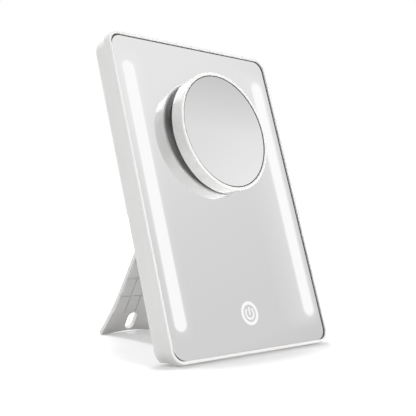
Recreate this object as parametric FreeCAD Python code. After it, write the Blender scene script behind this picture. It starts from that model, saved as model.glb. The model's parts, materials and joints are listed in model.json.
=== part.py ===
"""Lighted makeup mirror that stands on a prop leg, with a magnifying spot mirror on its glass.

All lengths are in millimetres and all angles in degrees. The body is drawn upright first: X runs to
the right, Y runs from the front lip to the back, Z runs up from the frame's bottom edge. The leg is
drawn folded into its pocket, and the spot mirror is drawn about its own axis. At the end everything
leans back onto the leg. Z is up there, and the origin is on the floor under the middle of the part.
"""
import FreeCAD, Part
import math
import os
from FreeCAD import Vector

# Driving sizes of the body
body_lean = 18.3
frame_width = 163.0
frame_height = 233.0
frame_corner = 10.2
body_depth = 17.4
lip_width = 2.25
lip_height = 1.2
lip_outer_round = 1.0
lip_inner_round = 0.5
ledge_width = 4.1
ledge_thickness = 1.3

# Mirror glass and what is stuck behind it
glass_side_gap = 1.15
glass_top_gap = 1.1
glass_seat_gap = 0.05
glass_corner_ease = 2.8
glass_thickness = 3.0
glass_edge_bevel = 0.3
backing_thickness = 0.3
backing_margin = 0.4
glass_tape_thickness = 0.4
glass_tape_width = 2.6

# Rear shell
shell_side_inset = 0.6
shell_end_inset = 1.3
shell_corner = 11.4
shell_wall = 1.8
shell_back_round = 1.6
shell_base_drop = 0.2

# Light windows, their diffusers and their boards
window_width = 12.0
window_edge_margin = 5.5
window_end_margin = 18.6
diffuser_overlap = 1.0
diffuser_thickness = 2.0
led_board_width = 8.0
led_board_thickness = 1.0
led_width = 2.8
led_length = 3.5
led_thickness = 0.8
led_count = 24

# Touch symbol: a ring round a power sign
symbol_height = 27.9
symbol_ring_diameter = 17.0
symbol_ring_stroke = 2.3
symbol_sign_stroke = 1.5
symbol_arc_diameter = 7.8
symbol_arc_opening = 70.0
symbol_bar_length = 6.1
symbol_bar_drop = 1.5
symbol_guide_margin = 1.0
electrode_gap = 0.3
electrode_width = 2.6
electrode_thickness = 0.3
electrode_post_diameter = 1.6

# Control board and battery
board_width = 44.0
board_height = 36.0
board_thickness = 1.2
board_post_diameter = 3.4
board_post_height = 1.1
board_post_inset = 3.0
chip_size = 6.0
chip_thickness = 1.0
chip_side_offset = 16.0
chip_end_offset = 8.0
battery_width = 25.0
battery_height = 76.0
battery_thickness = 4.8
battery_corner = 2.0
battery_side_gap = 1.2
battery_pad_thickness = 1.0
battery_pad_margin = 4.0

# Charging socket in the right wall
socket_height = 40.0
socket_length = 9.0
socket_width = 3.2
socket_shell = 0.4
socket_depth = 7.6
socket_tongue_length = 6.4
socket_tongue_thickness = 0.7
socket_tongue_depth = 5.6
socket_clearance = 0.15
socket_tab_margin = 2.5

# Screws that hold the shell to the frame
screw_inset = 10.4
screw_diameter = 2.4
screw_length = 7.0
screw_end_gap = 0.2
screw_head_diameter = 4.6
screw_head_height = 1.5
screw_head_sink = 0.5
screw_clearance = 0.25
screw_post_diameter = 6.4
screw_boss_depth = 2.2

# Soft feet under the shell
foot_proud = 2.0
foot_length = 22.0
foot_offset = 50.0
foot_setback = 9.0
foot_depth = 5.0
foot_sink = 0.8

# Prop leg and its hinge
open_angle = 44.1
hinge_height = 168.5
hinge_inset = 1.4
leg_top_width = 26.4
leg_waist_width = 41.0
leg_waist_height = 38.4
leg_flare = 4.5
leg_thickness = 3.6
leg_edge_round = 0.8
leg_corner_round = 2.0
leg_tip_width = 3.0
leg_arch_height = 2.2
leg_foot_trim = 0.6
leg_hole_width = 9.4
leg_hole_length = 15.0
leg_hole_height = 11.3
pad_rise = 0.8
pad_columns = 4
pad_pitch = 16.0
pad_channel = 1.0
pad_field_bottom = 20.0
pad_field_top = 10.0
barrel_diameter = 4.8
pin_diameter = 2.5
pin_clearance = 0.05
pin_seat = 5.0
knuckle_length = 7.0
washer_clearance = 0.05
pocket_side_clearance = 1.0
pocket_floor_clearance = 0.4
pocket_top_clearance = 0.8
pocket_wall = 1.6

# Magnifying spot mirror on its suction cup
spot_diameter = 90.0
spot_offset = 3.0
spot_below_top = 72.6
spot_depth = 10.0
spot_standoff = 3.1
spot_droop = 2.3
spot_turn = 1.4
spot_wall = 1.8
spot_lip = 2.4
spot_edge_round = 0.7
spot_glass_thickness = 2.0
spot_glass_sink = 0.7
spot_glass_gap = 0.2
spot_glass_radius = 320.0
spot_ledge_width = 2.4
spot_ledge_thickness = 1.2
spot_tape_thickness = 0.4
spot_back_thickness = 1.6
spot_back_gap = 0.1
cup_diameter = 40.0
cup_lip_width = 1.5
cup_lip_height = 0.5
cup_dome_diameter = 18.0
cup_dome_height = 2.2
cup_hollow_height = 0.9
cup_neck_diameter = 9.0
cup_neck_gap = 0.5
cup_head_diameter = 12.0
cup_head_height = 1.4
cup_head_gap = 0.4
cup_tab_reach = 43.0
cup_tab_width = 18.0
cup_tab_corner = 6.0
cup_tab_thickness = 1.0
cup_tab_lift = 0.1
cup_tab_turn = 161.0

# How far a cutting tool runs past what it cuts
reach = 10.0

# Places that follow from the sizes above
half_width = frame_width / 2
glass_back = lip_height + glass_thickness
backing_back = glass_back + backing_thickness
ledge_front = backing_back + glass_tape_thickness
frame_depth = ledge_front + ledge_thickness
glass_bottom = lip_width + glass_seat_gap
glass_width = frame_width - 2 * (lip_width + glass_side_gap)
glass_height = frame_height - lip_width - glass_top_gap - glass_bottom
opening_corner = frame_corner - lip_width
glass_corner = opening_corner + glass_corner_ease
window_offset = glass_width / 2 - window_edge_margin - window_width / 2
window_bottom = glass_bottom + window_end_margin
window_length = glass_height - 2 * window_end_margin
spot_height = frame_height - spot_below_top
ledge_inset = lip_width + ledge_width
ledge_corner = opening_corner / 2
shell_half_width = half_width - shell_side_inset
shell_top = frame_height - shell_end_inset
shell_floor = body_depth - shell_wall
led_board_front = shell_floor - led_board_thickness
screw_boss_front = shell_floor - screw_boss_depth
leg_inner = body_depth - leg_thickness
pocket_floor = leg_inner - pad_rise - pocket_floor_clearance
pocket_inner = pocket_floor - pocket_wall
board_back = pocket_inner - board_post_height
board_front = board_back - board_thickness
guide_radius = symbol_ring_diameter / 2 + symbol_guide_margin
lean_sin = math.sin(math.radians(body_lean))
lean_cos = math.cos(math.radians(body_lean))
leg_lean = math.radians(open_angle - body_lean)
floor_level = -shell_base_drop - foot_proud
hinge_depth = body_depth - hinge_inset
hinge_level = hinge_height * lean_cos - hinge_depth * lean_sin
leg_length = ((hinge_level - floor_level + leg_foot_trim - (hinge_depth - leg_inner) * math.sin(leg_lean))
              / math.cos(leg_lean))
leg_bottom = hinge_height - leg_length
leg_waist = leg_bottom + leg_waist_height
taper_top = hinge_height - barrel_diameter

x_axis = Vector(1, 0, 0)
y_axis = Vector(0, 1, 0)
z_axis = Vector(0, 0, 1)
sides = (-1, 1)


# Shapes that are used more than once

def block(x_low, x_high, y_front, y_back, z_low, z_high):
    """Plain box between two corners."""
    return Part.makeBox(x_high - x_low, y_back - y_front, z_high - z_low, Vector(x_low, y_front, z_low))


def rounded_block(half, z_low, z_high, radius, y_front, y_back):
    """Upright plate, centred on X, whose four corners are round."""
    plate = block(-half, half, y_front, y_back, z_low, z_high)
    corners = [edge for edge in plate.Edges if edge.tangentAt(edge.FirstParameter).cross(y_axis).Length < 0.5]
    return plate.makeFillet(radius, corners)


def prism(outline, y_front, y_back):
    """Straight-sided plate over an outline of (x, z) points."""
    points = [Vector(x, y_front, z) for x, z in outline]
    return Part.Face(Part.makePolygon(points + points[:1])).extrude(y_axis * (y_back - y_front))


def stadium(x_middle, z_low, z_high, width, y_front, y_back):
    """Upright bar with half-round ends."""
    radius = width / 2
    left = x_middle - radius
    right = x_middle + radius
    bottom = z_low + radius
    top = z_high - radius
    edges = [Part.LineSegment(Vector(right, y_front, bottom), Vector(right, y_front, top)).toShape(),
             Part.Arc(Vector(right, y_front, top), Vector(x_middle, y_front, z_high),
                      Vector(left, y_front, top)).toShape(),
             Part.LineSegment(Vector(left, y_front, top), Vector(left, y_front, bottom)).toShape(),
             Part.Arc(Vector(left, y_front, bottom), Vector(x_middle, y_front, z_low),
                      Vector(right, y_front, bottom)).toShape()]
    return Part.Face(Part.Wire(edges)).extrude(y_axis * (y_back - y_front))


def rod(x_middle, z_middle, diameter, y_front, y_back):
    """Cylinder along Y."""
    return Part.makeCylinder(diameter / 2, y_back - y_front, Vector(x_middle, y_front, z_middle), y_axis)


def tube(x_middle, z_middle, outer, inner, y_front, y_back):
    """Ring along Y between two diameters."""
    hole = rod(x_middle, z_middle, inner, y_front, y_back)
    return rod(x_middle, z_middle, outer, y_front, y_back).cut(hole)


def hinge_rod(diameter, x_low, x_high):
    """Cylinder on the leg's hinge axis."""
    return Part.makeCylinder(diameter / 2, x_high - x_low, Vector(x_low, hinge_depth, hinge_height), x_axis)


def turned(profile):
    """Solid turned about Z from a closed outline of (radius, height) points."""
    points = [Vector(radius, 0, height) for radius, height in profile]
    return Part.Face(Part.makePolygon(points + points[:1])).revolve(Vector(), z_axis, 360)


def round_rims(shape, rims, radius):
    """Round the circular edges of a turned solid that lie at the given (radius, height) places."""
    chosen = []
    for edge in shape.Edges:
        if not isinstance(edge.Curve, Part.Circle):
            continue
        for rim_radius, rim_height in rims:
            if math.hypot(edge.Curve.Radius - rim_radius, edge.Curve.Center.z - rim_height) < radius / 2:
                chosen.append(edge)
    return shape.makeFillet(radius, chosen)


def flat_front(shape):
    """The foremost face of an upright plate."""
    return min(shape.Faces, key=lambda face: face.BoundBox.YMax)


def flat_back(shape):
    """The rearmost face of an upright plate."""
    return max(shape.Faces, key=lambda face: face.BoundBox.YMin)


def joined(first, *others):
    """One clean solid from pieces that overlap."""
    return first.fuse(list(others)).removeSplitter()


# Front frame, glass and the layers behind it

def screw_places():
    """The four (x, z) places of the shell's screws."""
    offset = half_width - screw_inset
    return [(side * offset, height) for side in sides for height in (screw_inset, frame_height - screw_inset)]


def frame_opening(inset, corner, y_front, y_back):
    """What the frame leaves free at a given inset from its outline."""
    return rounded_block(half_width - inset, inset, frame_height - inset, corner, y_front, y_back)


def make_front_frame():
    """Bezel with a raised round lip, a ledge for the glass and four screw posts."""
    outer = rounded_block(half_width, 0, frame_height, frame_corner, 0, frame_depth)
    outer = outer.makeFillet(lip_outer_round, flat_front(outer).Edges)
    front = outer.cut(frame_opening(lip_width, opening_corner, -reach, ledge_front))
    lip = flat_front(front)
    inner_edges = [edge for wire in lip.Wires if not wire.isSame(lip.OuterWire) for edge in wire.Edges]
    front = front.makeFillet(lip_inner_round, inner_edges)
    frame = front.cut(frame_opening(ledge_inset, ledge_corner, -reach, frame_depth + reach))
    radius = screw_post_diameter / 2
    pilot_front = body_depth - screw_head_sink - screw_head_height - screw_length - screw_end_gap
    for x, z in screw_places():
        side = math.copysign(1, x)
        end = 0 if z < frame_height / 2 else frame_height
        x_ends = sorted((x - side * radius, side * (half_width - lip_width)))
        z_ends = sorted((z + math.copysign(radius, frame_height / 2 - z), end))
        gusset = block(*x_ends, ledge_front, frame_depth, *z_ends).common(outer)
        post = rod(x, z, screw_post_diameter, ledge_front, screw_boss_front)
        frame = joined(frame, gusset, post)
        frame = frame.cut(rod(x, z, screw_diameter, pilot_front, screw_boss_front))
    return frame


def make_glass_plate(margin, y_front, y_back):
    """Plate with the outline of the mirror glass, drawn in by a margin."""
    return rounded_block(glass_width / 2 - margin, glass_bottom + margin,
                         glass_bottom + glass_height - margin, glass_corner - margin, y_front, y_back)


def make_mirror_glass():
    """Flat glass with a ground front edge."""
    plate = make_glass_plate(0, lip_height, glass_back)
    return plate.makeChamfer(glass_edge_bevel, flat_front(plate).Edges)


def power_sign(y_front, y_back):
    """Ring, open arc and bar of the touch symbol."""
    ring = tube(0, symbol_height, symbol_ring_diameter, symbol_ring_diameter - 2 * symbol_ring_stroke,
                y_front, y_back)
    arc = tube(0, symbol_height, symbol_arc_diameter + symbol_sign_stroke, symbol_arc_diameter - symbol_sign_stroke,
               y_front, y_back)
    half_opening = math.radians(symbol_arc_opening / 2)
    wedge = prism([(0, symbol_height),
                   (symbol_arc_diameter * math.sin(half_opening),
                    symbol_height + symbol_arc_diameter * math.cos(half_opening)),
                   (-symbol_arc_diameter * math.sin(half_opening),
                    symbol_height + symbol_arc_diameter * math.cos(half_opening))], y_front, y_back)
    bar_low = symbol_height - symbol_bar_drop
    bar = stadium(0, bar_low, bar_low + symbol_bar_length, symbol_sign_stroke, y_front, y_back)
    return [ring, arc.cut(wedge), bar]


def make_mirror_backing():
    """Silvered layer, left clear at the light windows and the touch symbol."""
    layer = make_glass_plate(backing_margin, glass_back, backing_back)
    windows = [stadium(side * window_offset, window_bottom, window_bottom + window_length, window_width,
                       glass_back, backing_back) for side in sides]
    return layer.cut(windows + power_sign(glass_back, backing_back))


def make_glass_tape():
    """Adhesive frame between the silvered layer and the frame's ledge."""
    outer = make_glass_plate(backing_margin, backing_back, ledge_front)
    return outer.cut(make_glass_plate(backing_margin + glass_tape_width, backing_back, ledge_front))


# Lights

def make_diffuser(side):
    """Frosted bar behind one light window."""
    return stadium(side * window_offset, window_bottom - diffuser_overlap,
                   window_bottom + window_length + diffuser_overlap, window_width + 2 * diffuser_overlap,
                   backing_back, backing_back + diffuser_thickness)


def make_led_board(side, has_socket):
    """Narrow board on the shell's floor. One of the two has a tab for the charging socket."""
    inner = window_offset - led_board_width / 2
    outer = window_offset + led_board_width / 2
    window_top = window_bottom + window_length
    board = block(*sorted((side * inner, side * outer)), led_board_front, shell_floor, window_bottom, window_top)
    if not has_socket:
        return board
    half_tab = socket_length / 2 + socket_tab_margin
    wall = shell_half_width - shell_wall - socket_clearance
    tab = block(*sorted((side * inner, side * wall)), led_board_front, shell_floor,
                socket_height - half_tab, socket_height + half_tab)
    return joined(board, tab)


def make_leds(side):
    """Row of light-emitting diodes along one board."""
    pitch = window_length / led_count
    middle = side * window_offset
    leds = []
    for index in range(led_count):
        bottom = window_bottom + pitch * (index + 0.5) - led_length / 2
        leds.append(block(middle - led_width / 2, middle + led_width / 2, led_board_front - led_thickness,
                          led_board_front, bottom, bottom + led_length))
    return Part.Compound(leds)


# Touch field, control board and battery

def make_symbol_guide():
    """Frosted disc between the control board and the clear touch symbol."""
    return rod(0, symbol_height, 2 * guide_radius, backing_back, board_front)


def make_touch_electrode():
    """Copper ring round the light guide, with a contact post down to the control board."""
    inner = guide_radius + electrode_gap
    ring = tube(0, symbol_height, 2 * (inner + electrode_width), 2 * inner, backing_back,
                backing_back + electrode_thickness)
    post = rod(0, symbol_height + inner + electrode_width / 2, electrode_post_diameter, backing_back, board_front)
    return joined(ring, post)


def make_control_board():
    """Board behind the touch symbol."""
    return block(-board_width / 2, board_width / 2, board_front, board_back,
                 symbol_height - board_height / 2, symbol_height + board_height / 2)


def make_board_chips():
    """Packages on the front of the control board, clear of the light guide."""
    chips = []
    for side in sides:
        for end in sides:
            x = side * chip_side_offset
            z = symbol_height + end * chip_end_offset
            chips.append(block(x - chip_size / 2, x + chip_size / 2, board_front - chip_thickness, board_front,
                               z - chip_size / 2, z + chip_size / 2))
    return Part.Compound(chips)


def beside_left_lights(plate):
    """Move a plate that is centred on X to the battery's place, next to the left board of lights."""
    plate.translate(x_axis * -(window_offset - (led_board_width + battery_width) / 2 - battery_side_gap))
    return plate


def make_battery():
    """Flat rechargeable cell between the leg's pocket and the left board of lights."""
    bottom = (frame_height - battery_height) / 2
    back = shell_floor - battery_pad_thickness
    return beside_left_lights(rounded_block(battery_width / 2, bottom, bottom + battery_height, battery_corner,
                                            back - battery_thickness, back))


def make_battery_pad():
    """Foam pad that holds the cell to the shell's floor."""
    half_across = battery_width / 2 - battery_pad_margin
    half_along = battery_height / 2 - battery_pad_margin
    middle = frame_height / 2
    return beside_left_lights(block(-half_across, half_across, shell_floor - battery_pad_thickness,
                                    shell_floor, middle - half_along, middle + half_along))


def socket_bar(length, width, depth, x_start):
    """Flat bar with round sides along X, at the charging socket's place."""
    bar = stadium(0, -length / 2, length / 2, width, 0, depth)
    bar.rotate(Vector(), z_axis, -90)
    bar.translate(Vector(x_start, led_board_front - socket_width / 2, socket_height))
    return bar


def make_charging_socket():
    """Flat oval metal socket with its tongue, level with the outside of the right wall."""
    start = shell_half_width - socket_depth
    inner_depth = socket_depth - socket_shell
    outer = socket_bar(socket_length, socket_width, socket_depth, start)
    inner = socket_bar(socket_length - 2 * socket_shell, socket_width - 2 * socket_shell, inner_depth,
                       start + socket_shell)
    middle = led_board_front - socket_width / 2
    tongue = block(start, start + socket_tongue_depth, middle - socket_tongue_thickness / 2,
                   middle + socket_tongue_thickness / 2, socket_height - socket_tongue_length / 2,
                   socket_height + socket_tongue_length / 2)
    return joined(outer.cut(inner), tongue)


# Rear shell and what is fixed to it

def leg_half_width(z):
    """Half the leg's width at a height of the folded leg: a straight taper that flares out below its waist."""
    taper = (taper_top - z) / (taper_top - leg_waist)
    flare = max(leg_waist - z, 0) / leg_waist_height
    return (leg_top_width + (leg_waist_width - leg_top_width) * taper) / 2 + leg_flare * flare ** 2


def pocket_prism(wall, y_front, y_back):
    """Space of the folded leg, larger by its clearance and a wall, open at the bottom."""
    margin = pocket_side_clearance + wall
    top = hinge_height + barrel_diameter / 2 + pocket_top_clearance + wall
    half_top = leg_top_width / 2 + margin
    half_waist = leg_waist_width / 2 + margin
    half_bottom = leg_half_width(leg_bottom) + margin
    right = [(half_bottom, leg_bottom), (half_waist, leg_waist), (half_top, taper_top), (half_top, top)]
    return prism(right + [(-x, z) for x, z in reversed(right)], y_front, y_back)


def above_level(level):
    """Space above a level of the leaning body, given in the axes of the upright one."""
    space = block(-frame_width, frame_width, -frame_height, frame_height, level, level + 2 * frame_height)
    space.rotate(Vector(), x_axis, body_lean)
    return space


def foot_block(side):
    """One soft foot, level with the floor once the body leans."""
    middle = side * foot_offset
    foot = block(middle - foot_length / 2, middle + foot_length / 2, foot_setback, foot_setback + foot_depth,
                 floor_level, foot_sink - shell_base_drop)
    foot.rotate(Vector(), x_axis, body_lean)
    return foot


def board_post_places():
    """The four (x, z) places under the control board's corners."""
    across = board_width / 2 - board_post_inset
    along = board_height / 2 - board_post_inset
    return [(side * across, symbol_height + end * along) for side in sides for end in sides]


def make_rear_shell():
    """Shallow tray with a level base, the leg's pocket, hinge knuckles, screw bosses and board posts."""
    outer = rounded_block(shell_half_width, shell_end_inset, shell_top, shell_corner, frame_depth, body_depth)
    outer = outer.common(above_level(-shell_base_drop))
    outer = outer.makeFillet(shell_back_round, flat_back(outer).Edges)
    cavity = rounded_block(shell_half_width - shell_wall, shell_end_inset + shell_wall, shell_top - shell_wall,
                           shell_corner - shell_wall, frame_depth - reach, shell_floor)
    cavity = cavity.common(above_level(shell_wall - shell_base_drop))
    pocket_box = pocket_prism(pocket_wall, pocket_inner, body_depth).common(outer)
    knuckle_start = leg_top_width / 2 + pocket_side_clearance
    additions = [pocket_box]
    for side in sides:
        ends = sorted((side * knuckle_start, side * (knuckle_start + knuckle_length)))
        additions.append(hinge_rod(barrel_diameter, *ends))
    for x, z in screw_places():
        additions.append(rod(x, z, screw_post_diameter, screw_boss_front, shell_floor))
    for x, z in board_post_places():
        additions.append(rod(x, z, board_post_diameter, board_back, pocket_inner))
    shell = joined(outer.cut(cavity), *additions)
    head_seat = body_depth - screw_head_sink - screw_head_height
    removals = [pocket_prism(0, pocket_floor, body_depth + reach)]
    removals.append(hinge_rod(pin_diameter, -knuckle_start - pin_seat, knuckle_start + pin_seat))
    for x, z in screw_places():
        removals.append(rod(x, z, screw_diameter + 2 * screw_clearance, screw_boss_front, body_depth))
        removals.append(rod(x, z, screw_head_diameter + 2 * screw_clearance, head_seat, body_depth))
    removals.append(socket_bar(socket_length + 2 * socket_clearance, socket_width + 2 * socket_clearance,
                               socket_depth + reach, shell_half_width - socket_depth))
    removals += [foot_block(side) for side in sides]
    return shell.cut(removals)


def make_shell_screws():
    """Round-headed screws from the shell into the frame's posts."""
    head_seat = body_depth - screw_head_sink - screw_head_height
    screws = []
    for x, z in screw_places():
        head = rod(x, z, screw_head_diameter, head_seat, head_seat + screw_head_height)
        shank = rod(x, z, screw_diameter, head_seat - screw_length, head_seat)
        screws.append(joined(head, shank))
    return Part.Compound(screws)


def make_hinge_pin():
    """Steel pin through the leg's barrel, seated in both knuckles."""
    half = leg_top_width / 2 + pocket_side_clearance + pin_seat
    return hinge_rod(pin_diameter, -half, half)


def make_friction_washers():
    """Washers between the ends of the leg's barrel and the knuckles."""
    washers = []
    for side in sides:
        ends = sorted((side * (leg_top_width / 2 + washer_clearance),
                       side * (leg_top_width / 2 + pocket_side_clearance)))
        hole = hinge_rod(pin_diameter, *ends)
        washers.append(hinge_rod(barrel_diameter, *ends).cut(hole))
    return Part.Compound(washers)


# Prop leg

def leg_plate():
    """Tapered plate with a flared foot, whose bottom edge arches up between two corner tips."""
    half_top = leg_top_width / 2
    half_foot = leg_half_width(leg_bottom)
    half_arch = half_foot - leg_tip_width
    half_waist = leg_waist_width / 2
    flare_middle = (leg_bottom + leg_waist) / 2
    outline = [(half_waist, leg_waist), (half_top, taper_top), (half_top, hinge_height),
               (-half_top, hinge_height), (-half_top, taper_top), (-half_waist, leg_waist)]
    points = [Vector(x, leg_inner, z) for x, z in outline]
    edges = [Part.LineSegment(start, end).toShape() for start, end in zip(points, points[1:])]
    for side in sides:
        flare = [Vector(side * leg_half_width(z), leg_inner, z) for z in (leg_waist, flare_middle, leg_bottom)]
        edges.append(Part.Arc(*flare).toShape())
        edges.append(Part.LineSegment(flare[-1], Vector(side * half_arch, leg_inner, leg_bottom)).toShape())
    edges.append(Part.Arc(Vector(-half_arch, leg_inner, leg_bottom), Vector(0, leg_inner, leg_bottom + leg_arch_height),
                          Vector(half_arch, leg_inner, leg_bottom)).toShape())
    plate = Part.Face(Part.Wire(Part.sortEdges(edges)[0])).extrude(y_axis * leg_thickness)
    tips = [edge for edge in plate.Edges
            if edge.BoundBox.ZMax < leg_bottom + leg_arch_height / 2
            and abs(edge.CenterOfMass.x) > half_foot - leg_tip_width / 2
            and edge.BoundBox.YLength > leg_thickness / 2 and edge.BoundBox.XLength < leg_tip_width / 2]
    plate = plate.makeFillet(leg_corner_round, tips)
    rounded = [edge for edge in plate.Edges
               if edge.BoundBox.YMin > body_depth - leg_thickness / 2
               and edge.BoundBox.ZMin < taper_top - barrel_diameter]
    return plate.makeFillet(leg_edge_round, rounded)


def leg_pads():
    """Rows of raised pads on the leg's inner face, narrower where the leg is narrower."""
    field_top = hinge_height - pad_field_top
    field_bottom = leg_bottom + pad_field_bottom
    row_count = int((field_top - field_bottom) / pad_pitch)
    pads = []
    for row in range(row_count):
        low = field_bottom + row * pad_pitch
        high = low + pad_pitch - pad_channel
        for column in range(pad_columns):
            starts = [-1 + 2 * column / pad_columns, -1 + 2 * (column + 1) / pad_columns]
            corners = []
            for z, order in ((low, 1), (high, -1)):
                ends = [starts[0] * leg_half_width(z) + pad_channel / 2,
                        starts[1] * leg_half_width(z) - pad_channel / 2]
                corners += [(x, z) for x in ends[::order]]
            pads.append(prism(corners, leg_inner - pad_rise, leg_inner + pad_rise))
    return pads


def make_stand_leg():
    """Leg with its barrel, pads and hole, still folded into the pocket."""
    barrel = hinge_rod(barrel_diameter, -leg_top_width / 2, leg_top_width / 2)
    leg = joined(leg_plate(), barrel, *leg_pads())
    hole_middle = leg_bottom + leg_hole_height
    hole = stadium(0, hole_middle - leg_hole_length / 2, hole_middle + leg_hole_length / 2, leg_hole_width,
                   leg_inner - reach, body_depth + reach)
    bore = hinge_rod(pin_diameter + 2 * pin_clearance, -leg_top_width / 2, leg_top_width / 2)
    return leg.cut([hole, bore])


# Magnifying spot mirror, drawn about Z with its back at height 0

spot_radius = spot_diameter / 2
spot_seat_radius = spot_radius - spot_lip
spot_glass_edge = spot_seat_radius - spot_glass_gap
spot_edge_front = spot_depth - spot_glass_sink
spot_edge_back = spot_edge_front - spot_glass_thickness
spot_ledge_front = spot_edge_back - spot_tape_thickness
cup_plate_front = spot_standoff + spot_back_thickness


def make_spot_rim():
    """Round rim with a front lip and a ledge for the glass."""
    wall = spot_radius - spot_wall
    ledge = spot_seat_radius - spot_ledge_width
    ledge_back = spot_ledge_front - spot_ledge_thickness
    rim = turned([(wall, 0), (spot_radius, 0), (spot_radius, spot_depth), (spot_seat_radius, spot_depth),
                  (spot_seat_radius, spot_ledge_front), (ledge, spot_ledge_front), (ledge, ledge_back),
                  (wall, ledge_back)])
    return round_rims(rim, [(spot_radius, 0), (spot_radius, spot_depth), (spot_seat_radius, spot_depth)],
                      spot_edge_round)


def spot_arc(radius, edge_height):
    """Hollow curve from the axis to the glass's edge, with its two end points."""
    def height(across):
        drop = math.sqrt(radius ** 2 - across ** 2) - math.sqrt(radius ** 2 - spot_glass_edge ** 2)
        return edge_height - drop
    points = [Vector(across, 0, height(across)) for across in (0, spot_glass_edge / 2, spot_glass_edge)]
    return Part.Arc(*points).toShape(), points[0], points[-1]


def make_spot_glass():
    """Hollow-ground glass of even thickness."""
    front, front_middle, front_edge = spot_arc(spot_glass_radius, spot_edge_front)
    back, back_middle, back_edge = spot_arc(spot_glass_radius + spot_glass_thickness, spot_edge_back)
    edges = [front, Part.LineSegment(front_edge, back_edge).toShape(), back,
             Part.LineSegment(back_middle, front_middle).toShape()]
    return Part.Face(Part.Wire(Part.sortEdges(edges)[0])).revolve(Vector(), z_axis, 360)


def make_spot_tape():
    """Adhesive ring under the edge of the hollow glass."""
    inner = spot_seat_radius - spot_ledge_width
    ring = turned([(inner, spot_ledge_front), (spot_glass_edge, spot_ledge_front),
                   (spot_glass_edge, spot_edge_back), (inner, spot_edge_back)])
    return ring.cut(make_spot_glass())


def make_spot_back():
    """Disc that closes the rim's back, with a hole for the cup's neck."""
    edge = spot_radius - spot_wall - spot_back_gap
    hole = cup_neck_diameter / 2 + cup_neck_gap
    return turned([(hole, 0), (edge, 0), (edge, spot_back_thickness), (hole, spot_back_thickness)])


def cup_tab():
    """Flat tab on the cup's lip, to lift it off the glass."""
    start = cup_diameter / 2 - cup_lip_width
    tab = Part.makeBox(cup_tab_reach - start, cup_tab_width, cup_tab_thickness,
                       Vector(start, -cup_tab_width / 2, cup_tab_lift))
    corners = [edge for edge in tab.Edges
               if edge.BoundBox.XMin > start and edge.BoundBox.ZLength > cup_tab_thickness / 2]
    tab = tab.makeFillet(cup_tab_corner, corners)
    tab.rotate(Vector(), z_axis, cup_tab_turn)
    return tab


def make_suction_cup():
    """Soft cup with a flat lip and a tab on the glass, a low dome, and a neck and head that hold the disc."""
    lip = cup_diameter / 2
    neck = cup_neck_diameter / 2
    head_low = cup_plate_front + cup_head_gap
    head_high = head_low + cup_head_height
    cup = turned([(0, cup_hollow_height), (lip - cup_lip_width, 0), (lip, 0), (lip, cup_lip_height),
                  (cup_dome_diameter / 2, cup_dome_height), (neck, cup_dome_height), (neck, head_low),
                  (cup_head_diameter / 2, head_low), (cup_head_diameter / 2, head_high), (0, head_high)])
    return joined(cup, cup_tab())


def on_glass(shape, standoff, droop, turn):
    """Stand a solid that was drawn about Z on the front of the mirror glass."""
    shape.rotate(Vector(), x_axis, 90 + droop)
    shape.rotate(Vector(), z_axis, turn)
    shape.translate(Vector(spot_offset, lip_height - standoff, spot_height))
    return shape


def lean_back(shape):
    """Lean a solid of the upright body back and lift it to the floor."""
    shape.rotate(Vector(), x_axis, -body_lean)
    shape.translate(Vector(0, 0, -floor_level))
    return shape


def level_with_floor(shape):
    """Cut a leaning solid flat where it meets the floor."""
    below = block(-frame_width, frame_width, -frame_height, frame_height, -frame_height, 0)
    return shape.cut(below)


def make_parts():
    """Every named piece at its place, leaning on the leg."""
    upright = {
        "front_frame": make_front_frame(),
        "rear_shell": make_rear_shell(),
        "mirror_glass": make_mirror_glass(),
        "mirror_backing": make_mirror_backing(),
        "glass_tape": make_glass_tape(),
        "left_light_diffuser": make_diffuser(-1),
        "right_light_diffuser": make_diffuser(1),
        "left_led_board": make_led_board(-1, False),
        "right_led_board": make_led_board(1, True),
        "left_leds": make_leds(-1),
        "right_leds": make_leds(1),
        "symbol_light_guide": make_symbol_guide(),
        "touch_electrode": make_touch_electrode(),
        "control_board": make_control_board(),
        "board_chips": make_board_chips(),
        "battery_cell": make_battery(),
        "battery_pad": make_battery_pad(),
        "charging_socket": make_charging_socket(),
        "shell_screws": make_shell_screws(),
        "hinge_pin": make_hinge_pin(),
        "friction_washers": make_friction_washers(),
    }
    for name, make in (("magnifier_rim", make_spot_rim), ("magnifier_back", make_spot_back),
                       ("magnifier_glass", make_spot_glass), ("magnifier_tape", make_spot_tape)):
        upright[name] = on_glass(make(), spot_standoff, spot_droop, spot_turn)
    upright["suction_cup"] = on_glass(make_suction_cup(), 0, 0, 0)
    parts = {name: lean_back(shape) for name, shape in upright.items()}
    parts["bottom_feet"] = Part.Compound([lean_back(foot_block(side)) for side in sides])
    leg = make_stand_leg()
    leg.rotate(Vector(0, hinge_depth, hinge_height), x_axis, open_angle)
    parts["stand_leg"] = level_with_floor(lean_back(leg))
    return parts


parts = make_parts()
whole = Part.Compound(list(parts.values())).optimalBoundingBox(False)
to_middle = Vector(0, -(whole.YMin + whole.YMax) / 2, 0)
os.makedirs("parts", exist_ok=True)
for name, shape in parts.items():
    shape.translate(to_middle)
    shape.exportStep("parts/" + name + ".step")
print("leg length %.2f, shift %.3f, height %.2f" % (leg_length, to_middle.y, whole.ZMax))
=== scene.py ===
import json
import math

import bpy
import numpy as np
from mathutils import Matrix, Vector


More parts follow.
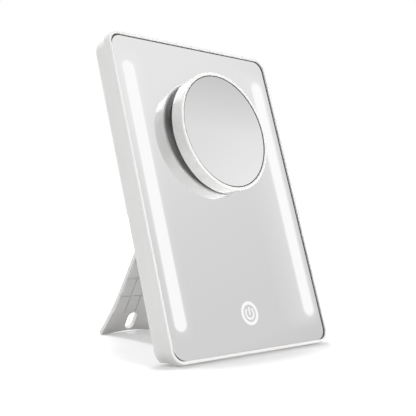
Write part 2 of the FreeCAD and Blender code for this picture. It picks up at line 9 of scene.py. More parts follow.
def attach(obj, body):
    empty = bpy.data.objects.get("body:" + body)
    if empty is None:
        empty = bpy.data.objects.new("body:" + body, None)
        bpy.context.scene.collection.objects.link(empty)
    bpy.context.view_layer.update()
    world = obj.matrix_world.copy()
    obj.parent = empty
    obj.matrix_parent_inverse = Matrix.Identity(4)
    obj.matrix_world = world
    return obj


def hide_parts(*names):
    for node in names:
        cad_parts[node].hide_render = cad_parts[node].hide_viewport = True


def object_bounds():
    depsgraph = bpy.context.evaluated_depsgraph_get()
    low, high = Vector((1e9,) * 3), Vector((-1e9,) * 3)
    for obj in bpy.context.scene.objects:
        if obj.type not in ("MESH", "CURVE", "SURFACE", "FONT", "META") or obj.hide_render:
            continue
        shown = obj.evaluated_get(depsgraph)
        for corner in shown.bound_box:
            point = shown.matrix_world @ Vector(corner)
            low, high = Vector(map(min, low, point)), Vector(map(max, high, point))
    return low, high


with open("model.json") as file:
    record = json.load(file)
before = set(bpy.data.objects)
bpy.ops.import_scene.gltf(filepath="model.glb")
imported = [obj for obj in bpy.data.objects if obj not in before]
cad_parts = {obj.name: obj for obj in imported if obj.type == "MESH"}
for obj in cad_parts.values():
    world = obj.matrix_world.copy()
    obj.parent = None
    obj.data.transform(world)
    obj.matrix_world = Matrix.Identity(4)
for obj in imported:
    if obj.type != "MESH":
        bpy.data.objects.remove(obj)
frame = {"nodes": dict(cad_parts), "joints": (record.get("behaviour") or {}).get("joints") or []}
cad_low, cad_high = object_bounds()

# Lengths are in metres and angles in radians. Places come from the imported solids
mm = 0.001
nodes = frame["nodes"]

# Mirror glass in its gap, and the dark strip of painted shade round it
lip_width = 2.25 * mm
edge_tolerance = 0.03 * mm
face_bevel = 0.12 * mm
face_shift = -0.2 * mm
face_rise = 0.35 * mm
face_corner_trim = np.array([[2.3], [2.3], [0.4], [2.3]]) * mm
opening_corner = 7.95 * mm
# Strip of painted shade in the gap: how far its top sits below the glass face, its depth and its clearance
# from the frame
gap_shade_sink = 0.1 * mm
gap_shade_depth = 1.6 * mm
gap_shade_clearance = 0.02 * mm

# Lit windows, which differ a little from side to side
diffuser_overlap = 1.0 * mm
window_proud = 0.03 * mm
window_inlay = 0.25 * mm
window_soft_edge = {"left": 1.8 * mm, "right": 3.0 * mm}
# How far the painted glow on the silver round a window reaches past its ends, its outer side and its inner
# side
window_end_reach = 8.0 * mm
window_outer_reach = 4.0 * mm
window_inner_reach = {"left": 8.0 * mm, "right": 30.0 * mm}
window_shift = {"left": -1.1 * mm, "right": -0.3 * mm}
window_half_change = {"left": -0.55 * mm, "right": 0.05 * mm}
window_corner_slack = 0.03 * mm

# Painted glow on the silver round a window, from its rim inwards: share of its reach, and share of its level
# there
painted_glow_steps = [(1.0, 0.0), (0.6, 0.3), (0.3, 0.6), (0.1, 0.85), (0.0, 1.0)]
painted_glow_level = {"left": 0.1, "right": 0.24}

# Touch symbol
symbol_guide_margin = 1.0 * mm
symbol_ring_stroke = 2.3 * mm
symbol_sign_stroke = 1.5 * mm
symbol_tip_share = 0.02
symbol_arc_radius = 3.9 * mm
symbol_arc_opening = math.radians(70)
symbol_bar_top = 4.6 * mm
symbol_bar_bottom = -1.5 * mm

# Spot mirror, its rim and the ring of painted shade between them
spot_hollow_radius = 320 * mm
spot_edge_bevel = 0.25 * mm
rim_lip = 2.4 * mm
rim_wall = 1.8 * mm
rim_ledge = 2.4 * mm
rim_ledge_front = 3.1 * mm
rim_ledge_back = 4.3 * mm
rim_outer_round = 0.8 * mm
rim_inner_round = 0.6 * mm
# Ring of painted shade round the spot mirror: its width and how far it stands out past the mirror's front
spot_shade_width = 0.5 * mm
spot_shade_rise = 0.08 * mm

# Screws
screw_head_height = 1.5 * mm
screw_edge_round = 0.5 * mm
cross_arm = 1.5 * mm
cross_half_width = 0.35 * mm
cross_depth = 0.9 * mm
cross_taper = 0.6

# How finely round shapes are divided
corner_steps = 24
round_steps = 192
dish_steps = 48
full_turn = np.linspace(0, 2 * math.pi, round_steps, endpoint=False)

# Edges that turn by more than these angles stay sharp
plate_crease = math.radians(20)
band_crease = math.radians(40)
window_crease = math.radians(60)
screw_crease = math.radians(30)

# Finishes, where the slight haze of the silver also keeps its light on the plastic free of speckle
mirror_roughness = 0.05
coat_roughness = 0.07
plastic_warmth = 0.006
washer_warmth = 0.01
warm_blue_loss = 1.5
fine_grain_scale = 1500
fine_grain_detail = 3
broad_tone_scale = 22
broad_tone_detail = 2

# Camera, measured from the middle of the glass's bottom edge: across, up along the glass, out of it
camera_place = np.array([-445.77, -27.35, 396.37]) * mm
camera_target = np.array([-19.15, 102.6, 0.0]) * mm
camera_right = np.array([0.69961, -0.20633, 0.68409])

# Lens and sensor in millimetres
camera_lens = 73.37
camera_sensor = 36.0

# Room in front, as mirrors see it: brightness by degrees above eye level
room_levels = [(0, 0.58), (13, 0.63), (15.3, 0.69), (18, 0.70),
               (24, 0.735), (29, 0.80), (33.5, 0.87), (50, 0.95)]

# The room turns white between these shares of a direction towards the back
room_edge_front = -0.3
room_edge_back = 0.1

# Even light of the room on matte surfaces
ambient_level = 0.44

# Floor: half its width, its own tone, and the white that it adds where its shade is full
floor_half = 6.0
floor_tone = 0.72
floor_lift = 0.22

# How far the floor looks for open sky, and the share of open sky at which its shade is full
floor_shade_reach = 120 * mm
floor_shade_full = 0.74


# The frame's directions and the places of its solids

def node_points(name):
    """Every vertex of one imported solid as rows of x, y and z."""
    mesh = nodes[name].data
    flat = np.empty(len(mesh.vertices) * 3)
    mesh.vertices.foreach_get("co", flat)
    return flat.reshape(-1, 3)


pull_off = next(joint for joint in frame["joints"] if joint["name"] == "magnifier_pull_off")
glass_out = np.array(pull_off["axis"]) / np.linalg.norm(pull_off["axis"])
glass_across = np.array([1.0, 0.0, 0.0])
glass_up = np.cross(glass_out, glass_across)
glass_axes = np.array([glass_across, glass_up, glass_out])


def spread(name, axes):
    """Lowest and highest reach of one solid along each of three axes."""
    reach = node_points(name) @ axes.T
    return reach.min(axis=0), reach.max(axis=0)


glass_low, glass_high = spread("mirror_glass", glass_axes)
glass_origin = np.array([0.0, glass_low[1], glass_high[2]]) @ glass_axes
glass_half_width = glass_high[0]
glass_height = glass_high[1] - glass_low[1]
glass_depth = glass_high[2] - spread("mirror_backing", glass_axes)[0][2]


def on_glass(across, up, out):
    """Points from their distances across the glass, up from its bottom edge and out of its face."""
    places = np.stack(np.broadcast_arrays(across, up, out), axis=-1)
    return glass_origin + places @ glass_axes


def solid_on_glass(name):
    """Lowest and highest reach of one solid, measured as on_glass measures."""
    low, high = spread(name, glass_axes)
    start = glass_axes @ glass_origin
    return low - start, high - start


# Surfaces

def put_mesh(name, points, faces, body, crease):
    """Make one closed piece that rides on a body. Faces are turned outwards by the sign of their volume."""
    a, b, c = (points[[face[k] for face in faces]] for k in range(3))
    if np.einsum("ij,ij->i", a, np.cross(b, c)).sum() < 0:
        faces = [face[::-1] for face in faces]
    mesh = bpy.data.meshes.new(name)
    mesh.from_pydata(points.tolist(), [], faces)
    mesh.shade_smooth()
    mesh.set_sharp_from_angle(angle=crease)
    piece = bpy.data.objects.new(name, mesh)
    bpy.context.scene.collection.objects.link(piece)
    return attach(piece, body)


def ring_faces(rings, is_loop):
    """Quads through a stack of closed rings.

    A loop joins its last ring to its first. A stack gets a fan at each end.
    """
    stack, count = rings.shape[:2]
    index = np.arange(stack * count).reshape(stack, count)
    here = index if is_loop else index[:-1]
    above = np.roll(index, -1, axis=0) if is_loop else index[1:]
    quads = np.stack([here, np.roll(here, -1, axis=1), np.roll(above, -1, axis=1), above], axis=-1)
    points = rings.reshape(-1, 3)
    faces = quads.reshape(-1, 4).tolist()
    if not is_loop:
        points = np.concatenate([points, rings[[0, -1]].mean(axis=1)])
        bottom = np.stack([np.roll(index[0], -1), index[0], np.full(count, stack * count)], axis=-1)
        top = np.stack([index[-1], np.roll(index[-1], -1), np.full(count, stack * count + 1)], axis=-1)
        faces += bottom.tolist() + top.tolist()
    return points, faces


def skin(name, rings, body, crease, is_loop=False):
    """Piece whose surface is drawn through closed rings."""
    return put_mesh(name, *ring_faces(rings, is_loop), body, crease)


def rounded_outline(middle, half_width, low, high, corner):
    """Rectangle with round corners: four quarter circles about the corner centres, joined in order."""
    turn = np.arange(4)[:, None] * (math.pi / 2) + np.linspace(0, math.pi / 2, corner_steps)
    side = np.array([1, -1, -1, 1])[:, None]
    end = np.array([1, 1, -1, -1])[:, None]
    across = middle + side * (half_width - corner) + corner * np.cos(turn)
    up = (low + high) / 2 + end * ((high - low) / 2 - corner) + corner * np.sin(turn)
    return across.ravel(), up.ravel()


def glass_plate(name, middle, half_width, low, high, corner, profile, crease):
    """Plate on the glass: a rounded outline drawn in by each inset of the profile, at its height out."""
    rings = []
    for inset, out in profile:
        outline = rounded_outline(middle, half_width - inset, low + inset, high - inset, corner - inset)
        rings.append(on_glass(*outline, out))
    return skin(name, np.array(rings), "mirror_body", crease)


def give_glow(piece, glow):
    """Store how much of the silver gives way to the lit, etched surface at each vertex, from 0 to 1. Round a
    window the lower values are painted glow.
    """
    attribute = piece.data.attributes.new("glow", "FLOAT", "POINT")
    attribute.data.foreach_set("value", glow.astype(np.float32))


def lit_band(name, across_half, line, normal, is_loop):
    """Thin lit band: a centre line on the glass, widened along its normal by the half width there.

    The section is a flat top with sides that go down into the glass.
    """
    section_side = np.array([-1.0, -1.0, 1.0, 1.0])
    section_out = np.array([-window_inlay, window_proud, window_proud, -window_inlay])
    offset = across_half[:, None] * section_side
    across, up = line[:, :, None] + offset * normal[:, :, None]
    piece = skin(name, on_glass(across, up, section_out), "mirror_body", band_crease, is_loop)
    give_glow(piece, np.ones(len(piece.data.vertices)))
    return piece


def round_ended(length, stroke, steps):
    """Distances along a stroke and its half width there: constant, with a half circle at each end.

    The very tips keep a small share of the stroke, so that no face shrinks to a line.
    """
    along = (1 - np.cos(np.linspace(0, math.pi, steps))) / 2 * length
    from_end = np.minimum(np.minimum(along, length - along), stroke / 2)
    half_square = (stroke / 2) ** 2 - (stroke / 2 - from_end) ** 2
    return along, np.sqrt(np.maximum(half_square, (stroke * symbol_tip_share) ** 2))


def about_axis(distance, height, turn, middle, axes):
    """Points at distances from the third of three axes, at heights along it and turned about it."""
    first = middle[0] + distance * np.cos(turn)
    second = middle[1] + distance * np.sin(turn)
    return np.stack(np.broadcast_arrays(first, second, height), axis=-1) @ axes


def turned(name, section, middle, axes):
    """Closed section of (distance from the axis, height) rows, turned about the spot mirror's axis."""
    rings = about_axis(section[:, 0], section[:, 1], full_turn[:, None], middle, axes)
    return skin(name, rings, "magnifier", band_crease, is_loop=True)


def round_corner(middle, radius, start):
    """Quarter circle of a section as (distance from the axis, height) rows, from a start in quarter turns."""
    turn = (start + np.linspace(0, 1, corner_steps // 2)) * math.pi / 2
    return np.stack([middle[0] + radius * np.cos(turn), middle[1] + radius * np.sin(turn)], axis=-1)


# Pieces

def glass_corner():
    """Corner radius of the glass: its height less the straight run of its left edge, halved."""
    points = node_points("mirror_glass") @ glass_axes.T
    edge = points[points[:, 0] < -glass_half_width + edge_tolerance]
    return (glass_height - np.ptp(edge[:, 1])) / 2


def face_outline():
    """Sizes of the glass for a rounded outline. It sits a little high and to one side in its gap.

    Its corners, from the upper right one anticlockwise, are sharper than the solid's by their trim.
    """
    return face_shift, glass_half_width, 0, glass_height + face_rise, glass_corner() - face_corner_trim


def make_mirror_face():
    """Silvered glass plate with a ground edge, from its back up to its polished face."""
    profile = [(0, -glass_depth), (0, -face_bevel), (face_bevel, 0)]
    piece = glass_plate("mirror_face", *face_outline(), profile, plate_crease)
    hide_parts("mirror_glass", "mirror_backing")
    return piece


def make_gap_shade():
    """Painted shade in the gap round the glass: a dark strip with a square section from the glass's outline
    to the frame's.
    """
    low, high = solid_on_glass("front_frame")
    wall = lip_width + gap_shade_clearance
    inner = rounded_outline(*face_outline())
    outer = rounded_outline(0, high[0] - wall, low[1] + wall, high[1] - wall, opening_corner)
    section = [(inner, -gap_shade_depth), (inner, -gap_shade_sink), (outer, -gap_shade_sink), (outer, -gap_shade_depth)]
    rings = np.stack([on_glass(*line, out) for line, out in section], axis=1)
    return skin("glass_gap_painted_shade", rings, "mirror_body", band_crease, is_loop=True)


def make_window(side_name):
    """Frosted light window over one diffuser: rounded outlines inside each other, let into the glass.

    The glow is 1 in the etched bar, where it is the window's own light, and falls over a soft edge. Beyond
    that edge a painted glow on the silver fades to 0 at its reach.
    """
    low, high = solid_on_glass(side_name + "_light_diffuser")
    middle = (low[0] + high[0]) / 2 + window_shift[side_name]
    half = (high[0] - low[0]) / 2 - diffuser_overlap + window_half_change[side_name]
    left_reach, right_reach = window_outer_reach, window_inner_reach[side_name]
    if side_name == "right":
        left_reach, right_reach = right_reach, left_reach
    soft = window_soft_edge[side_name] / 2
    painted_glow = [(window_proud, share, soft, level * painted_glow_level[side_name]) for share, level in painted_glow_steps]
    rings, glows = [], []
    for out, share, edge, glow in [(-window_inlay, 1, soft, 0)] + painted_glow + [(window_proud, 0, -soft, 1)]:
        left = middle - half - edge - share * left_reach
        right = middle + half + edge + share * right_reach
        grow = edge - diffuser_overlap + share * window_end_reach
        corner = half + edge - window_corner_slack + share * window_outer_reach / 2
        across_middle, across_half = (left + right) / 2, (right - left) / 2
        outline = rounded_outline(across_middle, across_half, low[1] - grow, high[1] + grow, corner)
        rings.append(on_glass(*outline, out))
        glows.append(np.full(len(outline[0]), glow))
    piece = skin(side_name + "_window", np.array(rings), "mirror_body", window_crease)
    # The last two vertices are the middles of its back and front
    give_glow(piece, np.concatenate(glows + [[0, 1]]))
    return piece


def make_symbol():
    """Touch symbol: a closed ring, an open arc and a bar, each a lit band."""
    low, high = solid_on_glass("symbol_light_guide")
    middle = (low[:2] + high[:2]) / 2
    outer = (high[0] - low[0]) / 2 - symbol_guide_margin
    ring_radius = outer - symbol_ring_stroke / 2
    outwards = np.array([np.cos(full_turn), np.sin(full_turn)])
    ring = lit_band("symbol_ring", np.full(round_steps, symbol_ring_stroke / 2),
                    middle[:, None] + ring_radius * outwards, outwards, is_loop=True)
    arc_length = (2 * math.pi - symbol_arc_opening) * symbol_arc_radius
    along, half = round_ended(arc_length, symbol_sign_stroke, round_steps)
    turn = (math.pi + symbol_arc_opening) / 2 + along / symbol_arc_radius
    outwards = np.array([np.cos(turn), np.sin(turn)])
    line = middle[:, None] + symbol_arc_radius * outwards
    arc = lit_band("symbol_arc", half, line, outwards, is_loop=False)
    along, half = round_ended(symbol_bar_top - symbol_bar_bottom, symbol_sign_stroke, 2 * corner_steps)
    still = np.zeros_like(along)
    line = np.array([middle[0] + still, middle[1] + symbol_bar_bottom + along])
    bar = lit_band("symbol_bar", half, line, np.array([still + 1, still]), is_loop=False)
    return ring, arc, bar


def spot_axes():
    """Two directions across the spot mirror and its own axis, along which its rim is shallowest."""
    points = node_points("magnifier_rim")
    points = points - points.mean(axis=0)
    axis = np.linalg.svd(points, full_matrices=False)[2][2]
    axis = axis * math.copysign(1, axis @ glass_out)
    first = glass_across - axis * (glass_across @ axis)
    first = first / np.linalg.norm(first)
    return np.array([first, np.cross(axis, first), axis])


def spot_solid(name):
    """Axes of the spot mirror, and one of its solids on them: middle, radius, back and front."""
    axes = spot_axes()
    low, high = spread(name, axes)
    return axes, (low + high) / 2, (high[0] - low[0]) / 2, low[2], high[2]


def make_spot_face():
    """Hollow mirror: height along the axis is the sphere's drop below its edge, turned about the axis."""
    axes, middle, edge, back, front = spot_solid("magnifier_glass")
    edge_drop = spot_hollow_radius - math.sqrt(spot_hollow_radius ** 2 - edge ** 2)
    radius = np.linspace(edge - spot_edge_bevel, edge / dish_steps, dish_steps)
    hollow = front - edge_drop + spot_hollow_radius - np.sqrt(spot_hollow_radius ** 2 - radius ** 2)
    side = [back, back + edge_drop, front - spot_edge_bevel]
    radius = np.concatenate([[edge / dish_steps, edge, edge], radius])
    height = np.concatenate([side, hollow])
    rings = about_axis(radius[:, None], height[:, None], full_turn, middle, axes)
    piece = skin("spot_face", rings, "magnifier", plate_crease)
    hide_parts("magnifier_glass")
    return piece


def make_spot_gap_shade():
    """Painted shade between the hollow mirror and its rim: a dark flat ring turned about the mirror's axis.
    """
    axes, middle, edge, _, front = spot_solid("magnifier_glass")
    section = np.array([(edge - spot_shade_width, front - spot_edge_bevel), (edge, front - spot_edge_bevel),
                        (edge, front + spot_shade_rise), (edge - spot_shade_width, front + spot_shade_rise)])
    return turned("spot_gap_painted_shade", section, middle, axes)


def make_spot_rim():
    """Rim of the spot mirror: a closed section with round edges, turned about the mirror's axis."""
    axes, middle, edge, back, front = spot_solid("magnifier_rim")
    seat = edge - rim_lip
    wall = edge - rim_wall
    section = np.concatenate([
        round_corner((edge - rim_outer_round, back + rim_outer_round), rim_outer_round, 3),
        round_corner((edge - rim_outer_round, front - rim_outer_round), rim_outer_round, 0),
        round_corner((seat + rim_inner_round, front - rim_inner_round), rim_inner_round, 1),
        np.array([(seat, front - rim_ledge_front), (seat - rim_ledge, front - rim_ledge_front),
                  (seat - rim_ledge, front - rim_ledge_back), (wall, front - rim_ledge_back), (wall, back)])])
    piece = turned("spot_rim", section, middle, axes)
    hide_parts("magnifier_rim")
    return piece


def cross_screw(screw):
    """Rings of one screw from its vertices on the glass's axes: shank, domed head and tapered cross recess.

    The recess is as far from the axis as the farther of two crossed bars: the greater of
    min(arm / |cos|, half / |sin|) and min(arm / |sin|, half / |cos|) in each direction.
    """
    turn = (np.arange(round_steps) + 0.5) / round_steps * 2 * math.pi
    cos, sin = np.abs(np.cos(turn)), np.abs(np.sin(turn))
    cross = np.maximum(np.minimum(cross_arm / cos, cross_half_width / sin),
                       np.minimum(cross_arm / sin, cross_half_width / cos))
    low, high = screw.min(axis=0), screw.max(axis=0)
    axis = (low + high) / 2
    head = (high[0] - low[0]) / 2
    seat = low[2] + screw_head_height
    shank = np.abs(screw[screw[:, 2] > seat + screw_edge_round, 0] - axis[0]).max()
    dome = round_corner((head - screw_edge_round, low[2] + screw_edge_round), screw_edge_round, 3)
    profile = np.concatenate([[(shank, high[2]), (shank, seat), (head, seat)], dome[::-1]])
    outside = np.repeat(profile[:, :1], round_steps, axis=1)
    radius = np.concatenate([outside, [cross, cross * cross_taper]])
    height = np.concatenate([profile[:, 1], [low[2], low[2] + cross_depth]])
    return about_axis(radius, height[:, None], turn, axis, glass_axes)


def make_screws():
    """Shell screws with a cross recess: one in each corner of the shell, joined into one piece."""
    points = node_points("shell_screws") @ glass_axes.T
    middle = (points.min(axis=0) + points.max(axis=0)) / 2
    all_points, all_faces, count = [], [], 0
    for side, end in ((-1, -1), (-1, 1), (1, -1), (1, 1)):
        is_here = (side * (points[:, 0] - middle[0]) > 0) & (end * (points[:, 1] - middle[1]) > 0)
        screw_points, screw_faces = ring_faces(cross_screw(points[is_here]), is_loop=False)
        all_points.append(screw_points)
        all_faces += [[index + count for index in face] for face in screw_faces]
        count += len(screw_points)
    piece = put_mesh("cross_screws", np.concatenate(all_points), all_faces, "mirror_body", screw_crease)
    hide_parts("shell_screws")
    return piece


# Finishes

def new_material(name):
    """New material with its node tree and its Principled shader."""
    material = bpy.data.materials.new(name)
    material.use_nodes = True
    tree = material.node_tree
    shader = next(node for node in tree.nodes if node.type == "BSDF_PRINCIPLED")
    return material, tree, shader


def new_group(name, inputs, outputs):
    """Shader node group with named sockets, each given with its kind, and the group's two end nodes."""
    group = bpy.data.node_groups.new(name, "ShaderNodeTree")
    for way, sockets in (("INPUT", inputs), ("OUTPUT", outputs)):
        for socket, kind in sockets.items():
            group.interface.new_socket(socket, in_out=way, socket_type="NodeSocket" + kind)
    return group, group.nodes.new("NodeGroupInput"), group.nodes.new("NodeGroupOutput")


def moulded_grain():
    """Group that gives the tone and the height of a fine moulded surface."""
    inputs = {"Vector": "Vector", "Grain Scale": "Float", "Dark": "Color", "Light": "Color"}
    group, start, end = new_group("moulded_grain", inputs, {"Color": "Color", "Height": "Float"})
    fine = group.nodes.new("ShaderNodeTexNoise")
    fine.inputs["Detail"].default_value = fine_grain_detail
    broad = group.nodes.new("ShaderNodeTexNoise")
    broad.inputs["Scale"].default_value = broad_tone_scale
    broad.inputs["Detail"].default_value = broad_tone_detail
    mix = group.nodes.new("ShaderNodeMix")
    mix.data_type = "RGBA"
    link = group.links.new
    link(start.outputs["Vector"], fine.inputs["Vector"])
    link(start.outputs["Vector"], broad.inputs["Vector"])
    link(start.outputs["Grain Scale"], fine.inputs["Scale"])
    link(broad.outputs["Fac"], mix.inputs["Factor"])
    link(start.outputs["Dark"], mix.inputs["A"])
    link(start.outputs["Light"], mix.inputs["B"])
    link(mix.outputs["Result"], end.inputs["Color"])
    link(fine.outputs["Fac"], end.inputs["Height"])
    return group


def silver_painted_shade():
    """Group that gives a tone between a bright and a dim one, by the height between two levels: a painted
    shade that darkens towards the higher level.
    """
    inputs = {"Vector": "Vector", "Low": "Float", "High": "Float", "Bright": "Color", "Dim": "Color"}
    group, start, end = new_group("silver_painted_shade", inputs, {"Color": "Color"})
    split = group.nodes.new("ShaderNodeSeparateXYZ")
    rise = group.nodes.new("ShaderNodeMapRange")
    mix = group.nodes.new("ShaderNodeMix")
    mix.data_type = "RGBA"
    link = group.links.new
    link(start.outputs["Vector"], split.inputs["Vector"])
    link(split.outputs["Z"], rise.inputs["Value"])
    link(start.outputs["Low"], rise.inputs["From Min"])
    link(start.outputs["High"], rise.inputs["From Max"])
    link(rise.outputs["Result"], mix.inputs["Factor"])
    link(start.outputs["Bright"], mix.inputs["A"])
    link(start.outputs["Dim"], mix.inputs["B"])
    link(mix.outputs["Result"], end.inputs["Color"])
    return group


grain_group = moulded_grain()
silver_group = silver_painted_shade()


def moulded(name, dark, light, roughness, metallic=0.0, grain_depth=0.002 * mm, coat=0.0):
    """Moulded, rolled or foamed finish: two near tones in broad patches and a fine grain in the surface."""
    material, tree, shader = new_material(name)
    place = tree.nodes.new("ShaderNodeTexCoord")
    grain = tree.nodes.new("ShaderNodeGroup")
    grain.node_tree = grain_group
    grain.inputs["Grain Scale"].default_value = fine_grain_scale
    grain.inputs["Dark"].default_value = (*dark, 1)
    grain.inputs["Light"].default_value = (*light, 1)
    bump = tree.nodes.new("ShaderNodeBump")
    bump.inputs["Distance"].default_value = grain_depth
    bump.inputs["Strength"].default_value = 1.0
    tree.links.new(place.outputs["Object"], grain.inputs["Vector"])
    tree.links.new(grain.outputs["Color"], shader.inputs["Base Color"])
    tree.links.new(grain.outputs["Height"], bump.inputs["Height"])
    tree.links.new(bump.outputs["Normal"], shader.inputs["Normal"])
    shader.inputs["Roughness"].default_value = roughness
    shader.inputs["Metallic"].default_value = metallic
    shader.inputs["Coat Weight"].default_value = coat
    shader.inputs["Coat Roughness"].default_value = coat_roughness
    return material


def silvered(name, bright, dim, low, high):
    """Silvered glass: a bright metal whose tone goes from bright to dim between two heights on the object, a
    painted shade on its reflection towards the higher one.
    """
    material, tree, shader = new_material(name)
    place = tree.nodes.new("ShaderNodeTexCoord")
    tone = tree.nodes.new("ShaderNodeGroup")
    tone.node_tree = silver_group
    tone.inputs["Low"].default_value = low
    tone.inputs["High"].default_value = high
    tone.inputs["Bright"].default_value = (*bright, 1)
    tone.inputs["Dim"].default_value = (*dim, 1)
    tree.links.new(place.outputs["Object"], tone.inputs["Vector"])
    tree.links.new(tone.outputs["Color"], shader.inputs["Base Color"])
    shader.inputs["Metallic"].default_value = 1.0
    shader.inputs["Roughness"].default_value = mirror_roughness
    return material


def lit(name, silver, frosted, bright, strength):
    """Etched glass: silver where the glow is 0, a dark surface lit from behind where it is 1."""
    material, tree, shader = new_material(name)
    # Rays find its glow where they meet it. It is not sampled as a lamp, which leaves less speckle
    material.cycles.emission_sampling = "NONE"
    shader.inputs["Base Color"].default_value = (*silver, 1)
    shader.inputs["Metallic"].default_value = 1.0
    shader.inputs["Roughness"].default_value = mirror_roughness
    etched = tree.nodes.new("ShaderNodeBsdfPrincipled")
    etched.inputs["Base Color"].default_value = (*frosted, 1)
    etched.inputs["Roughness"].default_value = mirror_roughness
    etched.inputs["Emission Color"].default_value = (*bright, 1)
    etched.inputs["Emission Strength"].default_value = strength
    glow = tree.nodes.new("ShaderNodeAttribute")
    glow.attribute_name = "glow"
    mix = tree.nodes.new("ShaderNodeMixShader")
    end = next(node for node in tree.nodes if node.type == "OUTPUT_MATERIAL")
    tree.links.new(glow.outputs["Fac"], mix.inputs["Fac"])
    tree.links.new(shader.outputs["BSDF"], mix.inputs[1])
    tree.links.new(etched.outputs["BSDF"], mix.inputs[2])
    tree.links.new(mix.outputs["Shader"], end.inputs["Surface"])
    return material


def grey(value, warmth=0.0):
    """Near-grey colour, with a little more red and less blue for a warm one."""
    return (value * (1 + warmth), value, value * (1 - warm_blue_loss * warmth))


# Moulded, rolled and foamed finishes by their slots
moulded_finishes = {
    "frame_plastic": dict(dark=grey(0.79, plastic_warmth), light=grey(0.82, plastic_warmth), roughness=0.32),
    "shell_plastic": dict(dark=grey(0.78, plastic_warmth), light=grey(0.81, plastic_warmth), roughness=0.38),
    "leg_plastic": dict(dark=grey(0.80, plastic_warmth), light=grey(0.83, plastic_warmth), roughness=0.42),
    "rim_plastic": dict(dark=grey(0.82, plastic_warmth), light=grey(0.84, plastic_warmth), roughness=0.2,
                        coat=0.5, grain_depth=0.0002 * mm),
    # The spot mirror's back is darkened as painted shade for the gap behind it
    "back_painted_shade": dict(dark=grey(0.38), light=grey(0.42), roughness=0.4),
    "dark_tape": dict(dark=grey(0.03), light=grey(0.05), roughness=0.7),
    "white_board": dict(dark=grey(0.8), light=grey(0.85), roughness=0.4),
    "led_package": dict(dark=(0.8, 0.7, 0.35), light=(0.9, 0.8, 0.45), roughness=0.4),
    "copper": dict(dark=(0.7, 0.4, 0.25), light=(0.8, 0.48, 0.3), roughness=0.3, metallic=1.0),
    "green_board": dict(dark=(0.03, 0.2, 0.09), light=(0.05, 0.28, 0.13), roughness=0.4),
    "black_package": dict(dark=grey(0.02), light=grey(0.035), roughness=0.5),
    "cell_foil": dict(dark=grey(0.6), light=grey(0.72), roughness=0.35, metallic=1.0),
    "grey_foam": dict(dark=grey(0.2), light=grey(0.3), roughness=0.9, grain_depth=0.1 * mm),
    "socket_steel": dict(dark=grey(0.55), light=grey(0.65), roughness=0.3, metallic=1.0),
    "screw_steel": dict(dark=grey(0.45), light=grey(0.55), roughness=0.35, metallic=1.0),
    "pin_steel": dict(dark=grey(0.5), light=grey(0.6), roughness=0.25, metallic=1.0),
    "washer_plastic": dict(dark=grey(0.5, washer_warmth), light=grey(0.56, washer_warmth), roughness=0.5),
    "foot_rubber": dict(dark=grey(0.3), light=grey(0.34), roughness=0.8),
    "cup_rubber": dict(dark=grey(0.05), light=grey(0.08), roughness=0.35),
}

# Silvered finishes by their slots, each with painted shade on its reflection that darkens towards its top.
# The spot mirror's tone changes over its upper half only
spot_heights = node_points("magnifier_glass")[:, 2]
spot_top = spot_heights.max()
spot_middle = (spot_heights.min() + spot_top) / 2
silvered_finishes = {
    "clear_glass": dict(bright=grey(0.93), dim=grey(0.9), low=cad_low[2], high=cad_high[2]),
    "silver_layer": dict(bright=grey(0.92), dim=grey(0.90), low=cad_low[2], high=cad_high[2]),
    "magnifying_mirror": dict(bright=grey(1.0), dim=grey(0.81), low=spot_middle, high=spot_top),
}

finishes = {name: moulded(name, **values) for name, values in moulded_finishes.items()}
finishes.update((name, silvered(name, **values)) for name, values in silvered_finishes.items())
finishes["frosted_plastic"] = lit("frosted_plastic", silver=grey(0.91), frosted=grey(0.03),
                                  bright=grey(0.88), strength=1.0)


# Studio

def set_ramp(ramp, levels):
    """Fill a colour ramp with grey levels at their places."""
    while len(ramp.elements) < len(levels):
        ramp.elements.new(1.0)
    for element, (place, level) in zip(ramp.elements, levels):
        element.position = place
        element.color = (level, level, level, 1)


def backdrop_rays(tree):
    """Value that is 1 for rays from the camera, a mirror or a clear solid, and its Light Path node."""
    path = tree.nodes.new("ShaderNodeLightPath")
    seen = path.outputs["Is Camera Ray"]
    for name in ("Is Glossy Ray", "Is Transmission Ray"):
        step = tree.nodes.new("ShaderNodeMath")
        step.operation = "MAXIMUM"
        tree.links.new(seen, step.inputs[0])
        tree.links.new(path.outputs[name], step.inputs[1])
        seen = step.outputs["Value"]
    return seen, path


def make_world():
    """Studio surround. Mirrors see it white behind the object and darker towards eye level in front of it.

    The camera sees it white from every side. Matte surfaces get an even grey.
    """
    world = bpy.data.worlds.new("studio")
    world.use_nodes = True
    tree = world.node_tree
    background = next(node for node in tree.nodes if node.type == "BACKGROUND")
    place = tree.nodes.new("ShaderNodeTexCoord")
    split = tree.nodes.new("ShaderNodeSeparateXYZ")
    ramp = tree.nodes.new("ShaderNodeValToRGB")
    set_ramp(ramp.color_ramp, [(math.sin(math.radians(height)), level) for height, level in room_levels])
    behind = tree.nodes.new("ShaderNodeMapRange")
    behind.inputs["From Min"].default_value = room_edge_front
    behind.inputs["From Max"].default_value = room_edge_back
    view = tree.nodes.new("ShaderNodeMix")
    view.data_type = "RGBA"
    view.inputs["B"].default_value = (1, 1, 1, 1)
    seen, path = backdrop_rays(tree)
    white = tree.nodes.new("ShaderNodeMath")
    white.operation = "MAXIMUM"
    level = tree.nodes.new("ShaderNodeMix")
    level.data_type = "RGBA"
    level.inputs["A"].default_value = (ambient_level, ambient_level, ambient_level, 1)
    link = tree.links.new
    link(place.outputs["Generated"], split.inputs["Vector"])
    link(split.outputs["Z"], ramp.inputs["Fac"])
    link(split.outputs["Y"], behind.inputs["Value"])
    link(behind.outputs["Result"], white.inputs[0])
    link(path.outputs["Is Camera Ray"], white.inputs[1])
    link(white.outputs["Value"], view.inputs["Factor"])
    link(ramp.outputs["Color"], view.inputs["A"])
    link(seen, level.inputs["Factor"])
    link(view.outputs["Result"], level.inputs["B"])
    link(level.outputs["Result"], background.inputs["Color"])
    bpy.context.scene.world = world


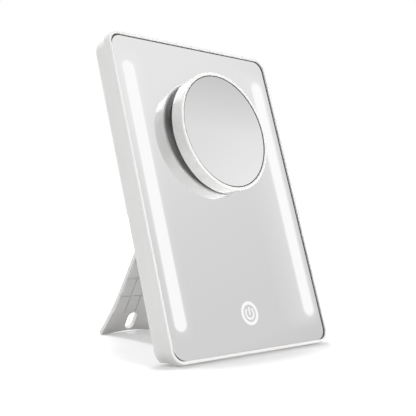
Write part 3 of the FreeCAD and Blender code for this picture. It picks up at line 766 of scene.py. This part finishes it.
def make_floor():
    """Plain pale floor that keeps the object's soft shadow and turns white in the open.

    The white rises evenly with the share of open sky within reach, from the lift where the shade is full.
    """
    corners = [(-floor_half, -floor_half, 0), (floor_half, -floor_half, 0),
               (floor_half, floor_half, 0), (-floor_half, floor_half, 0)]
    mesh = bpy.data.meshes.new("floor")
    mesh.from_pydata(corners, [], [(0, 1, 2, 3)])
    floor = bpy.data.objects.new("floor", mesh)
    bpy.context.scene.collection.objects.link(floor)
    material, tree, shader = new_material("pale_floor")
    # Its white is for the camera and mirrors, so it is not sampled as a lamp
    material.cycles.emission_sampling = "NONE"
    shader.inputs["Base Color"].default_value = (*grey(floor_tone), 1)
    shader.inputs["Roughness"].default_value = 1.0
    shader.inputs["Specular IOR Level"].default_value = 0.0
    shader.inputs["Emission Color"].default_value = (1, 1, 1, 1)
    sky = tree.nodes.new("ShaderNodeAmbientOcclusion")
    sky.inputs["Distance"].default_value = floor_shade_reach
    fade = tree.nodes.new("ShaderNodeMapRange")
    fade.inputs["From Min"].default_value = floor_shade_full
    fade.inputs["From Max"].default_value = 1.0
    fade.inputs["To Min"].default_value = floor_lift
    lift = tree.nodes.new("ShaderNodeMath")
    lift.operation = "MULTIPLY"
    link = tree.links.new
    link(sky.outputs["AO"], fade.inputs["Value"])
    link(backdrop_rays(tree)[0], lift.inputs[0])
    link(fade.outputs["Result"], lift.inputs[1])
    link(lift.outputs["Value"], shader.inputs["Emission Strength"])
    mesh.materials.append(material)


def make_lamp(name, direction, distance, width, height, radiance, in_mirrors=False, on_matte=True):
    """Soft box that looks at the object from a direction, as bright as its radiance.

    It may be left out of what shiny surfaces reflect, or out of the light on matte ones.
    """
    lamp = bpy.data.lights.new(name, "AREA")
    lamp.shape = "RECTANGLE"
    lamp.size = width
    lamp.size_y = height
    lamp.energy = radiance * math.pi * width * height
    holder = bpy.data.objects.new(name, lamp)
    towards = Vector(direction).normalized()
    holder.location = (cad_low + cad_high) / 2 + towards * distance
    holder.rotation_euler = towards.to_track_quat("Z", "Y").to_euler()
    holder.visible_glossy = in_mirrors
    holder.visible_diffuse = on_matte
    bpy.context.scene.collection.objects.link(holder)


def make_camera():
    """Camera at the photograph's place, turned by its own right and viewing directions."""
    data = bpy.data.cameras.new("camera")
    data.lens = camera_lens
    data.sensor_width = camera_sensor
    camera = bpy.data.objects.new("camera", data)
    place = on_glass(*camera_place)
    back = place - on_glass(*camera_target)
    back = back / np.linalg.norm(back)
    right = camera_right @ glass_axes
    right = right - back * (right @ back)
    right = right / np.linalg.norm(right)
    up = np.cross(back, right)
    turn = Matrix(np.array([right, up, back]).T.tolist()).to_4x4()
    camera.matrix_world = Matrix.Translation(Vector(place)) @ turn
    bpy.context.scene.collection.objects.link(camera)
    bpy.context.scene.camera = camera


# Dress the solids, add the pieces and light them

for solid in nodes.values():
    for index, material in enumerate(solid.data.materials):
        solid.data.materials[index] = finishes[material.name]
# Painted shade: the back of the spot mirror is made darker than its rim, though their slots are alike, to
# stand in for the shade in the gap behind it
nodes["magnifier_back"].data.materials[0] = finishes["back_painted_shade"]
make_mirror_face().data.materials.append(finishes["silver_layer"])
# The dark strip in the glass's gap is painted shade
make_gap_shade().data.materials.append(finishes["dark_tape"])
for side_name in ("left", "right"):
    make_window(side_name).data.materials.append(finishes["frosted_plastic"])
for piece in make_symbol():
    piece.data.materials.append(finishes["frosted_plastic"])
make_spot_face().data.materials.append(finishes["magnifying_mirror"])
make_spot_rim().data.materials.append(finishes["rim_plastic"])
# The dark ring round the spot mirror is painted shade
make_spot_gap_shade().data.materials.append(finishes["dark_tape"])
make_screws().data.materials.append(finishes["screw_steel"])

make_world()
make_floor()

# Lamps, by their directions from the middle of the object
make_lamp("overhead_softbox", (0.09, 0.33, 0.94), distance=1.5, width=0.2, height=0.2, radiance=78.0)
make_lamp("front_softbox", (0.25, -0.93, 0.14), distance=1.2, width=0.9, height=0.5, radiance=7.0)
make_lamp("left_softbox", (-0.86, 0.42, 0.30), distance=1.2, width=0.8, height=0.8, radiance=2.3)
make_lamp("rim_softbox", (0.062, 0.079, 0.995), distance=3.0, width=3.6, height=3.33, radiance=1.8,
          in_mirrors=True, on_matte=False)

make_camera()
bpy.context.scene.view_settings.view_transform = "Standard"
